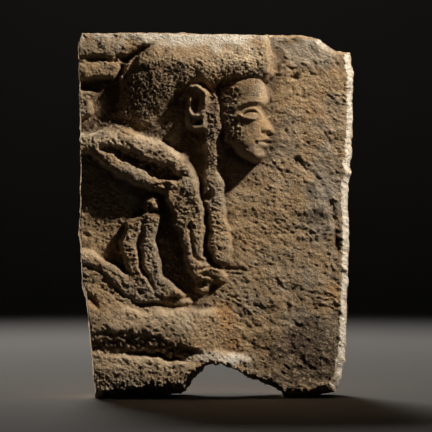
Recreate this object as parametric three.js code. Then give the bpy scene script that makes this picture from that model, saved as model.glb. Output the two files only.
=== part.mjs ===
// A broken block of a carved stone wall: a kneeling figure with a heavy wig leans forward on both hands, in high
// relief against a plain background. The block is one solid piece of stone. Its left and right sides are cut, its
// top and bottom corners are chipped, and an arch is broken out of its underside, which leaves two feet to stand on.
//
// Millimetres, +Z up. The carved face looks along -Y and the flat dressed back looks along +Y. The origin is at
// the middle of the underside.

import * as THREE from "three";
import { mergeVertices } from "three/addons/utils/BufferGeometryUtils.js";

// Overall sizes
const PANEL_WIDTH = 301;
const PANEL_HEIGHT = 400;
const SLAB_THICKNESS = 62; // from the background of the carving to the back
const RELIEF_DEPTH = 24; // from the background to the full height of the carving

// How the sides of the slab are worn
const EDGE_BACKSET = 7; // how far behind the background the slab reaches its full outline
const BACK_ARRIS = 3; // how far the back is drawn in from the outline
const ARRIS_DEPTH = 6; // how deep that worn back edge is
const RIGHT_BEVEL = 8.5; // the knapped bevel along the right side
const LEFT_BEVEL = 1.2;
const TOP_BEVEL = 2.4;
const LEFT_FOOT_BEVEL = 12; // the broken slope in front of each foot
const RIGHT_FOOT_BEVEL = 7;
const ARCH_BEVEL = 2; // the same, at the crown of the arch between the feet

// The carving was set out in squares. Points below are [right, down] in squares, counted from a corner of the
// whole scene that lies beyond the top left corner of this block.
const LAYOUT_SQUARE = 10.83;
const SQUARES_LOST_LEFT = 7.72;
const SQUARES_LOST_ABOVE = 3.05;

// How finely the face is cut into triangles
const GRID_STEPS = 256; // finest steps across and down the face, a power of two
const FACE_TOLERANCE = 1; // how far the triangles may stray from the carving
const SOFTENING_PASSES = 8; // how often the heights are blended with those beside them
const STEPS_PER_SPAN = 5; // straight pieces between two points of a curve

// The outline, as [share along the side, how far inside the full rectangle it lies, as a share of the width for the
// left and right sides and of the height for the top and bottom]
const LEFT_INSET = [[0, 0.013], [0.03, 0], [0.3, 0.007], [0.48, 0.006], [0.53, 0], [0.6, 0.008], [0.7, 0.013],
  [0.73, 0.028], [1, 0.06]];
const RIGHT_INSET = [[0, 0.012], [0.06, 0], [0.22, 0.001], [0.36, 0.01], [0.43, 0.02], [0.55, 0.014],
  [0.75, 0.022], [0.9, 0.03], [0.96, 0.043], [1, 0.066]];
const TOP_INSET = [[0, 0.0015], [0.26, 0], [0.6, 0.004], [0.83, 0.008], [0.88, 0.016], [0.92, 0.037],
  [0.95, 0.051], [1, 0.055]];
const BOTTOM_INSET = [[0, 0], [0.17, 0], [0.32, 0.008], [0.37, 0.025], [0.43, 0.073], [0.47, 0.092],
  [0.53, 0.094], [0.58, 0.08], [0.67, 0.048], [0.77, 0.02], [0.81, 0], [0.91, 0], [0.94, 0.009], [1, 0.02]];
const BOTTOM_BEVEL = [[0, LEFT_FOOT_BEVEL], [0.33, LEFT_FOOT_BEVEL], [0.44, ARCH_BEVEL], [0.6, ARCH_BEVEL],
  [0.75, RIGHT_FOOT_BEVEL], [1, RIGHT_FOOT_BEVEL]];

// The carving, in the order in which one form lies over another. rise is a share of RELIEF_DEPTH. A mass is a
// closed outline with a rounded rim that falls away from its crest; a bar is a rounded band along a path; a cut is
// a groove along a path; a pit is an oval hollow; a boss is an oval swelling.
const CARVING = [
  {
    // A second figure's arm, cut off at the left edge
    mass: [[5, 1], [16.5, 1], [15.6, 3.4], [14.4, 4.7], [12.6, 5.5], [11.6, 5.7], [8.5, 5.75], [5, 5.7]],
    rise: 0.8, rim: 1, crest: [[5, 4.9], [13, 4.7], [16, 3.8]], fall: 0.1,
  },
  {
    // Its other hand, and the edge of its sleeve
    mass: [[5, 5.9], [11, 5.95], [11.8, 6.2], [12, 6.9], [11.7, 7.6], [11, 7.85], [5, 7.95]],
    rise: 0.68, rim: 0.5, crest: [[5, 6.4], [11.5, 6.4]], fall: 0.06,
  },
  { mass: [[14.6, 4.5], [12.7, 5.8], [11.9, 7.6], [12.3, 7.9], [13.3, 6.6], [14.6, 5.2]], rise: 0.74, rim: 0.4 },
  { mass: [[5, 8.9], [9.45, 9], [9.3, 10.2], [8.8, 11.7], [5, 12.2]], rise: 0.4, rim: 0.35 },
  {
    // The ground line along the foot of the scene
    mass: [[4, 35.4], [12, 35.4], [15, 35.6], [17.2, 36], [19.5, 36.4], [21.5, 37], [20, 39], [17, 43], [4, 43]],
    rise: 0.62, rim: 0.55, crest: [[4, 36.4], [20, 37]], fall: 0.06,
  },
  {
    // The lower leg, which dies away to the right
    mass: [[4, 26.3], [8.2, 27.2], [9.8, 28.3], [11.2, 29.5], [12.6, 30.6], [14.4, 31], [20, 31], [23.5, 31.5],
      [25, 35], [23, 37.5], [20.5, 35.8], [17.5, 34.6], [14.6, 33.7], [9, 33.4], [4, 33.4]],
    rise: 0.74, rim: 0.9, crest: [[6, 31], [10, 32], [14, 32.7], [17, 33.3], [21, 34.8]], fall: 0.09,
    fade: [[18.5, 32.4], [24.5, 33.4]],
  },
  {
    // The slope beneath it, down to the ground line
    mass: [[4, 32.2], [9, 32.4], [13.5, 32.6], [16.5, 33.2], [19.6, 34.6], [21.5, 36], [19.9, 36.5], [17.2, 35.9],
      [14.5, 35.4], [4, 35.3]],
    rise: 0.68, rim: 0.35, crest: [[4, 32.9], [9.2, 32.9], [13.5, 33.1], [16.4, 33.8], [19.5, 35.2]], fall: 0.23,
    fade: [[17.5, 34], [21.5, 36]],
  },
  {
    // The thigh
    mass: [[4, 24.7], [8, 24.9], [10.2, 25.6], [11.7, 26.7], [14, 28], [15.8, 28.8], [18, 29.6], [19, 30.4],
      [16.5, 30.7], [14.4, 30.55], [13, 30.2], [11.2, 28.6], [9, 26.8], [4, 25.9]],
    rise: 0.6, rim: 0.55, crest: [[6, 25.3], [9, 25.9], [12, 28], [15, 29.6]], fall: 0.1,
  },
  {
    // The neck and throat
    mass: [[15.6, 9], [19, 7.6], [21.8, 8.2], [23.4, 10], [23.4, 13.5], [22.4, 15.6], [22.2, 18.5], [19.5, 18.5],
      [17.8, 15.6], [14.8, 14.2], [12.5, 12.6]],
    rise: 0.34, rim: 1.2, crest: [[19, 9], [20.5, 15]], fall: 0.05,
  },
  {
    // The wig
    mass: [[17.5, 0.2], [15.6, 3.4], [14.3, 4.85], [12.9, 6.3], [12.1, 7.6], [12, 10], [11, 11.2], [10.1, 12.2],
      [10.8, 12.9], [13.2, 13], [15.2, 12.4], [16.1, 11.2], [17.1, 10], [18.4, 9.1], [20, 8.3], [21.2, 9],
      [22.6, 8], [24, 7.85], [26.8, 7.8], [27.4, 6.2], [27.3, 4.9], [26.9, 3.6], [26.5, 0.2]],
    rise: 1.08, rim: 0.9, crest: [[15.9, 5.9], [17.5, 5.3], [20, 5.3], [23, 5.8], [26, 6.2]], fall: 0.15,
  },
  {
    // The lock of hair before the ear
    mass: [[20.6, 8.6], [21.8, 8.3], [22, 10.6], [22.3, 12.6], [22, 13.8], [21.7, 15.5], [21.7, 18.2], [20.8, 18.2],
      [20.5, 15.5], [20.4, 13], [20.4, 10.5]],
    rise: 0.64, rim: 0.6, crest: [[21.2, 8.6], [21.2, 12]], fall: 0.03,
  },
  {
    // The face: brow, nose and chin each a third of the way down from the wig
    mass: [[22.2, 7.2], [24.5, 6.7], [26.4, 6.9], [26.8, 9.6], [26.75, 10.3], [26.35, 10.95], [26.75, 11.8],
      [27.35, 12.75], [27.3, 13.2], [26.8, 13.4], [27, 13.9], [26.7, 14.2], [26.85, 14.6], [26.45, 14.95],
      [26.45, 15.5], [26, 16], [25.2, 16.1], [23.9, 15.4], [22.9, 14.4], [22.2, 12.9], [21.7, 10.6], [21.75, 8.8]],
    rise: 0.93, rim: 0.9, crest: [[25.4, 7.5], [25.5, 11], [25.3, 15.5]], fall: 0.17,
  },
  {
    // The shoulder and upper arm
    mass: [[4, 13.6], [8.6, 13.3], [10.7, 12.7], [12.1, 12.7], [14, 13.25], [15.95, 13.9], [17.4, 14.8],
      [18.5, 15.8], [19.4, 17], [20, 19], [18.6, 19.1], [16.5, 18.75], [14.5, 18.3], [13, 17.6], [11.5, 16.8],
      [9.9, 15.9], [8.9, 15.3], [7.9, 15.3], [4, 16]],
    rise: 0.95, rim: 0.8, crest: [[6, 14.6], [10, 14.2], [14, 15], [17.5, 16.6], [19, 18]], fall: 0.09,
  },
  {
    // The near forearm
    mass: [[16.5, 18.4], [18.9, 17.6], [19.9, 18.8], [20.3, 20.9], [20.55, 23.1], [20.4, 25.4], [19.9, 26.6],
      [18.9, 26.6], [18.3, 24.6], [17.4, 22.4], [16.6, 20.2]],
    rise: 0.72, rim: 0.5, crest: [[17.8, 18.8], [18.8, 21.5], [19.5, 25]], fall: 0.06,
  },
  {
    // The far forearm
    mass: [[20.5, 19.4], [21.5, 18.8], [22.3, 19.6], [22.7, 21.9], [23, 24.4], [23, 26], [22.3, 26.9],
      [21.3, 26.2], [20.9, 24.4], [20.8, 21.9]],
    rise: 0.5, rim: 0.5, crest: [[21.3, 19.6], [21.6, 23], [21.9, 26]], fall: 0.13,
  },
  {
    // The near hand, flat on the ground
    mass: [[18.7, 25.6], [20, 25.3], [21.2, 25.8], [22.2, 26.2], [23.8, 27.1], [22, 28.2], [21, 27.9], [19.8, 27.6],
      [18.8, 27.2]],
    rise: 0.54, rim: 0.45,
  },
  {
    // Cloth that hangs from the arm, with a deep groove between its two folds
    mass: [[14.3, 20.3], [15.9, 20], [15.9, 22], [15.65, 24.4], [15.95, 26.4], [16.9, 28.1], [18.6, 29.5],
      [17, 30], [15.2, 29.7], [13.9, 28.8], [12.8, 27.4], [12.2, 25.9], [12.1, 24.2], [12.4, 22.5]],
    rise: 0.64, rim: 0.5, crest: [[14.8, 21], [13.9, 24.2], [14.6, 27.2], [16.6, 29.2]], fall: 0.06,
  },
  {
    cut: [[14.9, 21.2], [14.3, 22.6], [14.05, 24.2], [14.1, 25.8], [14.5, 27.4], [15.5, 28.9]],
    width: [0.3, 0.38, 0.42, 0.42, 0.36, 0.2], depth: [0.2, 0.34, 0.4, 0.4, 0.3, 0.12],
  },
  // The broken elbow and the far wrist
  { boss: [15.3, 19.7], radii: [0.75, 0.8], base: 0.25, rise: 0.5 },
  { boss: [21.3, 18.4], radii: [1, 1.25], base: 0.3, rise: 0.36 },
  // The crease of the near elbow, and the hollow along the forearm
  { cut: [[16.8, 18.9], [18.2, 18.75], [19.6, 18.85]], width: 0.22, depth: 0.16 },
  { cut: [[18.5, 20], [18.7, 22], [19.3, 24.2], [19.7, 25.6]], width: 0.2, depth: [0.1, 0.14, 0.16, 0.12] },
  // The ear, with its rim, hollow and pierced lobe
  {
    mass: [[18.5, 9.6], [19, 8.7], [20, 8.5], [20.7, 9.3], [20.75, 10.6], [20.6, 11.8], [20.6, 12.8], [19.8, 13.2],
      [18.9, 12.7], [18.7, 11.6], [18.9, 10.6]],
    rise: 0.8, rim: 0.35,
  },
  {
    bar: [[18.5, 9.2], [19.2, 8.65], [20, 8.7], [20.6, 9.5], [20.6, 10.8], [20.3, 11.4]],
    width: [0.35, 0.42, 0.42, 0.36, 0.3, 0.26], rise: [0.85, 1, 1.04, 1, 0.95, 0.85],
  },
  { pit: [19.55, 10.3], radii: [0.62, 1], depth: 0.5 },
  { pit: [19.75, 12.3], radii: [0.4, 0.4], depth: 0.35 },
  // The spall along the upper arm, and other deep pits
  {
    cut: [[9.6, 14.8], [11.2, 15], [12.8, 15.5], [14.6, 16.2], [16.2, 16.9], [17.6, 17.4], [18.4, 17.5]],
    width: [0.4, 0.65, 0.75, 0.9, 0.95, 0.75, 0.4], depth: [0.25, 0.4, 0.44, 0.48, 0.5, 0.42, 0.2],
  },
  { pit: [12.3, 5.9], radii: [0.4, 0.5], depth: 0.35 },
  { pit: [20.9, 19.5], radii: [0.45, 0.4], depth: 0.4 },
  { pit: [15.2, 21], radii: [0.4, 0.35], depth: 0.3 },
  { pit: [20.9, 28.4], radii: [0.9, 0.6], depth: 0.12 },
];
const RIM_POWER = 2.2; // how full a rounded rim is: 2 is a quarter circle
const CREST_RADIUS = 0.8; // how round the top of a crest is, in squares
const LEAST_RISE = 0.05; // what is left of a mass far from its crest
const CUT_POWER = 1.6; // the same as RIM_POWER, for the floor of a cut or a pit

const stone = new THREE.MeshStandardMaterial({ color: 0x9c8262, roughness: 0.92, metalness: 0 });

function clamp01(value) {
  return Math.min(1, Math.max(0, value));
}

function smoothStep(value) {
  const t = clamp01(value);
  return t * t * (3 - 2 * t);
}

function greatest(values) {
  return Array.isArray(values) ? Math.max(...values) : values;
}

/** The value at a share along evenly spaced values, or the one value. */
function valueAt(values, share) {
  if (!Array.isArray(values)) return values;
  const place = clamp01(share) * (values.length - 1);
  const i = Math.min(Math.floor(place), values.length - 2);
  return THREE.MathUtils.lerp(values[i], values[i + 1], place - i);
}

/** The value at a share along a list of [share, value] pairs. */
function valueBetween(pairs, share) {
  const after = pairs.findIndex(([at]) => at >= share);
  if (after <= 0) return pairs[after === 0 ? 0 : pairs.length - 1][1];
  const [fromShare, fromValue] = pairs[after - 1];
  const [toShare, toValue] = pairs[after];
  return THREE.MathUtils.lerp(fromValue, toValue, (share - fromShare) / (toShare - fromShare));
}

/** 1 at the middle and 0 at the rim of a rounded form, where t runs from 0 to 1. */
function roundedShare(t, power = RIM_POWER) {
  return Math.pow(1 - Math.pow(clamp01(t), power), 1 / power);
}

/** A smooth curve through the points, as short straight pieces. */
function smoothCurve(points, closed = false) {
  const curve = new THREE.CatmullRomCurve3(
    points.map(([right, down]) => new THREE.Vector3(right, down, 0)), closed, "catmullrom",
  );
  return curve.getPoints(STEPS_PER_SPAN * (closed ? points.length : points.length - 1));
}

/** Whether a place lies in the box round a curve, grown by a margin. */
function nearBox({ min, max }, right, down, margin = 0) {
  return right > min.x - margin && right < max.x + margin && down > min.y - margin && down < max.y + margin;
}

/** How far a place is from a curve, and the share of the curve where it comes nearest. */
function nearestOn(curve, right, down) {
  let least = Infinity;
  let share = 0;
  for (let i = 0; i + 1 < curve.length; i++) {
    const a = curve[i];
    const alongX = curve[i + 1].x - a.x;
    const alongY = curve[i + 1].y - a.y;
    const t = clamp01(((right - a.x) * alongX + (down - a.y) * alongY) / (alongX ** 2 + alongY ** 2));
    const distance = Math.hypot(right - a.x - t * alongX, down - a.y - t * alongY);
    if (distance < least) {
      least = distance;
      share = (i + t) / (curve.length - 1);
    }
  }
  return { distance: least, share };
}

function isInside(curve, right, down) {
  let odd = false;
  for (let i = 0; i + 1 < curve.length; i++) {
    const a = curve[i];
    const b = curve[i + 1];
    if ((a.y > down) !== (b.y > down) && right < a.x + ((down - a.y) * (b.x - a.x)) / (b.y - a.y)) odd = !odd;
  }
  return odd;
}

/** How strongly a form that fades from one point to another still stands at a place. */
function fadeShare([from, to], right, down) {
  const dx = to[0] - from[0];
  const dy = to[1] - from[1];
  return 1 - smoothStep(((right - from[0]) * dx + (down - from[1]) * dy) / (dx * dx + dy * dy));
}

// Each maker turns a row of CARVING into a function from the height so far and a place to the new height.
const MAKERS = {
  mass({ mass, rise, rim, crest, fall, fade }) {
    const outline = smoothCurve(mass, true);
    const box = new THREE.Box3().setFromPoints(outline);
    const ridge = crest && smoothCurve(crest);
    return (height, right, down) => {
      if (!nearBox(box, right, down) || !isInside(outline, right, down)) return height;
      const fromRim = nearestOn(outline, right, down).distance;
      let top = rise;
      if (ridge) {
        const fromCrest = nearestOn(ridge, right, down).distance;
        top = Math.max(rise - fall * (Math.hypot(fromCrest, CREST_RADIUS) - CREST_RADIUS), LEAST_RISE);
      }
      if (fade) top *= fadeShare(fade, right, down);
      return Math.max(height, top * roundedShare(1 - fromRim / rim));
    };
  },
  bar({ bar, width, rise }) {
    const path = smoothCurve(bar);
    const box = new THREE.Box3().setFromPoints(path);
    return (height, right, down) => {
      if (!nearBox(box, right, down, greatest(width))) return height;
      const { distance, share } = nearestOn(path, right, down);
      return Math.max(height, valueAt(rise, share) * roundedShare(distance / valueAt(width, share)));
    };
  },
  cut({ cut, width, depth }) {
    const path = smoothCurve(cut);
    const box = new THREE.Box3().setFromPoints(path);
    return (height, right, down) => {
      if (!nearBox(box, right, down, greatest(width))) return height;
      const { distance, share } = nearestOn(path, right, down);
      return height - valueAt(depth, share) * roundedShare(distance / valueAt(width, share), CUT_POWER);
    };
  },
  pit({ pit, radii, depth }) {
    return (height, right, down) =>
      height - depth * roundedShare(Math.hypot((right - pit[0]) / radii[0], (down - pit[1]) / radii[1]), CUT_POWER);
  },
  boss({ boss, radii, base, rise }) {
    return (height, right, down) => {
      const t = Math.hypot((right - boss[0]) / radii[0], (down - boss[1]) / radii[1]);
      return t < 1 ? Math.max(height, base + rise * roundedShare(t)) : height;
    };
  },
};
const forms = CARVING.map((row) => MAKERS[Object.keys(MAKERS).find((kind) => kind in row)](row));

/** How far the carving stands out from the background at a place on the face, in millimetres. */
function reliefAt(fromLeft, fromTop) {
  const right = fromLeft / LAYOUT_SQUARE + SQUARES_LOST_LEFT;
  const down = fromTop / LAYOUT_SQUARE + SQUARES_LOST_ABOVE;
  return RELIEF_DEPTH * forms.reduce((height, form) => form(height, right, down), 0);
}

/** A place inside the outline, drawn in from it by a bevel on each side, as [from the left, from the top]. */
function placeInOutline(across, downward, bevel) {
  const left = PANEL_WIDTH * valueBetween(LEFT_INSET, downward) + bevel.left;
  const right = PANEL_WIDTH * (1 - valueBetween(RIGHT_INSET, downward)) - bevel.right;
  const top = PANEL_HEIGHT * valueBetween(TOP_INSET, across) + bevel.top;
  const bottom = PANEL_HEIGHT * (1 - valueBetween(BOTTOM_INSET, across)) - bevel.bottom(across);
  return [THREE.MathUtils.lerp(left, right, across), THREE.MathUtils.lerp(top, bottom, downward)];
}

const FRONT = {
  left: LEFT_BEVEL,
  right: RIGHT_BEVEL,
  top: TOP_BEVEL,
  bottom: (across) => valueBetween(BOTTOM_BEVEL, across),
};
const FULL = { left: 0, right: 0, top: 0, bottom: () => 0 };
const BACK = { left: BACK_ARRIS, right: BACK_ARRIS, top: BACK_ARRIS, bottom: () => BACK_ARRIS };

const SIDE = GRID_STEPS + 1; // grid points along one side of the face
const LAST = GRID_STEPS;
const indexOf = (column, row) => row * SIDE + column;

/** Calls visit(column, row) for each grid point from the first values on, in steps. */
function eachPoint(firstColumn, firstRow, step, visit) {
  for (let row = firstRow; row <= LAST; row += step) {
    for (let column = firstColumn; column <= LAST; column += step) visit(column, row);
  }
}

/** Each grid point on the carved face. */
function facePoints() {
  const places = [];
  eachPoint(0, 0, 1, (column, row) => places.push(placeInOutline(column / LAST, row / LAST, FRONT)));
  let heights = places.map(([fromLeft, fromTop]) => reliefAt(fromLeft, fromTop));
  for (let pass = 0; pass < SOFTENING_PASSES; pass++) heights = softened(heights);
  return places.map(([fromLeft, fromTop], i) => modelPoint(fromLeft, fromTop, -heights[i]));
}

/** The heights, each blended with those on its four sides. */
function softened(heights) {
  const blended = [];
  eachPoint(0, 0, 1, (column, row) => {
    const beside = [
      indexOf(Math.max(column - 1, 0), row),
      indexOf(Math.min(column + 1, LAST), row),
      indexOf(column, Math.max(row - 1, 0)),
      indexOf(column, Math.min(row + 1, LAST)),
    ];
    blended.push(heights[indexOf(column, row)] / 2 + beside.reduce((sum, i) => sum + heights[i], 0) / 8);
  });
  return blended;
}

/** The model's own place of a point: the background of the carving lies at y = 0 until the block is centred. */
function modelPoint(fromLeft, fromTop, behind) {
  return new THREE.Vector3(fromLeft, behind, PANEL_HEIGHT - fromTop);
}

/** How far a grid point lies from the middle of the straight line between two others at the same offset from it. */
function strayFrom(points, column, row, dx, dy) {
  const a = points[indexOf(column - dx, row - dy)];
  const b = points[indexOf(column + dx, row + dy)];
  return points[indexOf(column, row)].distanceTo(a.clone().add(b).divideScalar(2));
}

/**
 * What is lost where a grid point is left out. Each value is at least those of the finer points that need it, so
 * triangles that are halved by it meet without a gap.
 */
function lossAtPoints(points) {
  const loss = new Float64Array(points.length);
  const raise = (column, row, own, reaches) => {
    const finer = reaches.map(([dx, dy]) => {
      const [c, r] = [column + dx, row + dy];
      return c >= 0 && c <= LAST && r >= 0 && r <= LAST ? loss[indexOf(c, r)] : 0;
    });
    loss[indexOf(column, row)] = Math.max(own, ...finer);
  };
  for (let step = 1; step < GRID_STEPS; step *= 2) {
    const half = step / 2;
    const corners = step > 1 ? [[half, half], [half, -half], [-half, half], [-half, -half]] : [];
    const sides = [[step, 0], [-step, 0], [0, step], [0, -step]];
    eachPoint(step, 0, 2 * step, (c, r) => raise(c, r, strayFrom(points, c, r, step, 0), corners));
    eachPoint(0, step, 2 * step, (c, r) => raise(c, r, strayFrom(points, c, r, 0, step), corners));
    eachPoint(step, step, 2 * step, (c, r) =>
      raise(c, r, Math.max(strayFrom(points, c, r, step, step), strayFrom(points, c, r, step, -step)), sides));
  }
  return loss;
}

/** The face as right triangles of grid points, halved where the carving needs it, as lists of three indices. */
function faceTriangles(loss) {
  const triangles = [];
  // a and b are the ends of the long side, and c is the corner between the short ones.
  const halve = (a, b, c) => {
    const middle = [(a[0] + b[0]) / 2, (a[1] + b[1]) / 2];
    const canHalve = Math.abs(a[0] - c[0]) + Math.abs(a[1] - c[1]) > 1;
    if (canHalve && loss[indexOf(...middle)] > FACE_TOLERANCE) {
      halve(c, a, middle);
      halve(b, c, middle);
    } else {
      triangles.push([a, b, c].map((point) => indexOf(...point)));
    }
  };
  halve([0, 0], [LAST, LAST], [LAST, 0]);
  halve([LAST, LAST], [0, 0], [0, LAST]);
  return triangles;
}

/** The block as one closed surface: the carved face, three bands round the sides, and the flat back. */
function blockGeometry() {
  const points = facePoints();
  const triangles = faceTriangles(lossAtPoints(points));

  // Grid points round the edge of the face that some triangle uses, clockwise from the front, as [column, row]
  const used = new Set(triangles.flat());
  const along = [...Array(LAST).keys()];
  const rim = [
    ...along.map((i) => [i, 0]),
    ...along.map((i) => [LAST, i]),
    ...along.map((i) => [LAST - i, LAST]),
    ...along.map((i) => [0, LAST - i]),
  ].filter((place) => used.has(indexOf(...place)));

  const faces = [...triangles];
  const addRing = (bevel, behind) => {
    const first = points.length;
    for (const [column, row] of rim) {
      points.push(modelPoint(...placeInOutline(column / LAST, row / LAST, bevel), behind));
    }
    return rim.map((_, i) => first + i);
  };
  const rings = [
    rim.map((place) => indexOf(...place)),
    addRing(FULL, EDGE_BACKSET),
    addRing(FULL, SLAB_THICKNESS - ARRIS_DEPTH),
    addRing(BACK, SLAB_THICKNESS),
  ];
  const backMiddle = points.push(modelPoint(PANEL_WIDTH / 2, PANEL_HEIGHT / 2, SLAB_THICKNESS)) - 1;
  rim.forEach((_, i) => {
    const next = (i + 1) % rim.length;
    for (let k = 0; k + 1 < rings.length; k++) {
      faces.push([rings[k][i], rings[k][next], rings[k + 1][next]]);
      faces.push([rings[k][i], rings[k + 1][next], rings[k + 1][i]]);
    }
    faces.push([rings.at(-1)[i], rings.at(-1)[next], backMiddle]);
  });

  const corners = faces.flat().map((i) => points[i]);
  const loose = new THREE.BufferGeometry().setFromPoints(corners);
  const geometry = mergeVertices(loose);
  geometry.computeVertexNormals();
  return geometry;
}

const geometry = blockGeometry();
geometry.computeBoundingBox();
const { min, max } = geometry.boundingBox;
geometry.translate(-(min.x + max.x) / 2, -(min.y + max.y) / 2, -min.z);

const reliefPanel = new THREE.Mesh(geometry, stone);
reliefPanel.name = "relief_panel";

const panel = new THREE.Group();
panel.add(reliefPanel);

export default panel;
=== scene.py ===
# A broken block of carved stone wall, made again at full fineness round its solid: the same forms, with the
# figure's finer carving, the tooling, grain, pits, scars and broken edges of old stone, and a plain studio.
import itertools

import bpy
import numpy as np
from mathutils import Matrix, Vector


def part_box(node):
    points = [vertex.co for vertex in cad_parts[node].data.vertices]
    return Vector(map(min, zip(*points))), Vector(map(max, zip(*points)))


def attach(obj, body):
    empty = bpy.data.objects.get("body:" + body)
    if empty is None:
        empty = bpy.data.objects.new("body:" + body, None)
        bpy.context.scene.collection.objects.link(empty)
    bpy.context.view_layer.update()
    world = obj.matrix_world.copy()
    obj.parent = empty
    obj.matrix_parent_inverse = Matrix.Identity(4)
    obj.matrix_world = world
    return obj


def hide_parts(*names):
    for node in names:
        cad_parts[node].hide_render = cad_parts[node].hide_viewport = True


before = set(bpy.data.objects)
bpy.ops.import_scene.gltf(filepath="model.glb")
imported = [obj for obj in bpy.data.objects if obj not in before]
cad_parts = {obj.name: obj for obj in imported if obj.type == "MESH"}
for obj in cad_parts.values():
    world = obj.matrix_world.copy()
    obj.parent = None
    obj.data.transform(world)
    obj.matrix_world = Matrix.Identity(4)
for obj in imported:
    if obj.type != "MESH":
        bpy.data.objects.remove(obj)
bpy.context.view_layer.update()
MM = 0.001

# Sizes of the block, in millimetres
low_corner, high_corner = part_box("relief_panel")
PANEL_WIDTH = (high_corner.x - low_corner.x) / MM
PANEL_HEIGHT = high_corner.z / MM
SLAB_THICKNESS = 62
RELIEF_DEPTH = 24
EDGE_BACKSET = 7
BACK_ARRIS = 3
ARRIS_DEPTH = 6
RIGHT_BEVEL = 6.8  # a little narrower than the solid's
LEFT_BEVEL = 1.2
TOP_BEVEL = 2.4
LEFT_FOOT_BEVEL = 12
RIGHT_FOOT_BEVEL = 7
ARCH_BEVEL = 2

# The carving's layout squares, in millimetres, counted from beyond the block's top left corner
LAYOUT_SQUARE = 10.83
SQUARES_LOST_LEFT = 7.72
SQUARES_LOST_ABOVE = 3.05
# How the forms are drawn and rounded
STEPS_PER_SPAN = 6
RIM_POWER = 2.2
CUT_POWER = 1.6
CREST_RADIUS = 0.8
LEAST_RISE = 0.05

# The outline of each side, as (share along it, inset from the full rectangle as a share of width or height)
LEFT_INSET = [(0, 0.013), (0.03, 0), (0.3, 0.007), (0.48, 0.006), (0.53, 0), (0.6, 0.008), (0.7, 0.013),
              (0.73, 0.028), (1, 0.06)]
RIGHT_INSET = [(0, 0.012), (0.06, 0), (0.22, 0.001), (0.36, 0.01), (0.43, 0.02), (0.55, 0.014),
               (0.75, 0.022), (0.9, 0.03), (0.96, 0.043), (1, 0.066)]
TOP_INSET = [(0, 0.0015), (0.26, 0), (0.6, 0.004), (0.83, 0.008), (0.88, 0.016), (0.92, 0.037),
             (0.95, 0.051), (1, 0.055)]
BOTTOM_INSET = [(0, 0), (0.17, 0), (0.32, 0.008), (0.37, 0.025), (0.43, 0.073), (0.47, 0.092),
                (0.53, 0.094), (0.58, 0.08), (0.67, 0.048), (0.77, 0.02), (0.81, 0), (0.91, 0),
                (0.94, 0.009), (1, 0.02)]
BOTTOM_BEVEL = [(0, LEFT_FOOT_BEVEL), (0.33, LEFT_FOOT_BEVEL), (0.44, ARCH_BEVEL), (0.6, ARCH_BEVEL),
                (0.75, RIGHT_FOOT_BEVEL), (1, RIGHT_FOOT_BEVEL)]

# The bevels at the front, the full outline and the arrises at the back, with the chips that eat into each
FRONT = dict(left=LEFT_BEVEL, right=RIGHT_BEVEL, top=TOP_BEVEL, bottom=BOTTOM_BEVEL)
FULL = dict(left=0, right=0, top=0, bottom=[(0, 0), (1, 0)])
BACK = dict(left=BACK_ARRIS, right=BACK_ARRIS, top=BACK_ARRIS, bottom=[(0, BACK_ARRIS), (1, BACK_ARRIS)])
FRONT_CHIPS = dict(left=0.5, right=2.4, top=0.9, bottom=5)
FULL_CHIPS = dict(left=0.3, right=1.4, top=0.5, bottom=0)
BACK_CHIPS = dict(left=1, right=1.5, top=1, bottom=2)
CHIP_LENGTH = dict(left=14, right=24, top=16, bottom=11)
CHIP_REACH = 20  # how far in from a side its chips shift the surface
FULL_BEHIND_SEED = 100  # gives the back's sides other chips than the front's
BEVEL_SHARES = (0.05, 0.3, 0.55, 0.8, 1)  # rings of points from the face's rim to the full outline
ARRIS_SHARES = (1 / 3, 2 / 3)  # and from there over the back's arris

# The fine surface
FIGURE_SHARE = (0.72, 0.76)  # share of the width and height that holds the figure and gets the finest grid
FINE_STEP = 0.85  # grid step there
COARSE_STEP = 1.15  # grid step on the rest of the face
SIDE_STEP = 3  # step across the thickness
MOST_TRIANGLES = 190_000

# How rough each kind of surface is, in millimetres: broad bulges, streaks of tooling and bedding, fine
# grain, rounded lumps, and pits with the share of cells that hold one
SKINS = {
    "ground": dict(bulge=0.35, streak=0.3, grain=0.4, lump=0.1, pit=0.8, pitted=0.08),
    "hair": dict(bulge=0.2, streak=0.1, grain=0.4, lump=0.8, pit=0.5, pitted=0.3),
    "worn": dict(bulge=0.3, streak=0.2, grain=0.45, lump=0.1, pit=0.5, pitted=0.1),
    "face": dict(bulge=0.1, streak=0.06, grain=0.2, lump=0.1, pit=0.2, pitted=0.15),
    "body": dict(bulge=0.35, streak=0.4, grain=0.6, lump=0.1, pit=0.8, pitted=0.08),
    "broken": dict(bulge=0.8, streak=0.5, grain=0.9, lump=0.4, pit=1.3, pitted=0.25),
}
SKIN_NAMES = list(SKINS)
WANDER = 0.16  # how far worn edges stray from the drawn ones, in squares
FRAY = 0.05  # the same, for their finest roughness
UNEVEN = 0.04  # how much the heights of the forms vary, as a share
# Wear is least on the face, which keeps its drawing
FACE_MIDDLE = (24.9, 11.6)
FACE_RADII = (4, 6)
FACE_BORDER = 1.6
WANDER_ON_FACE = 0.15
UNEVEN_ON_FACE = 0.2

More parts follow.
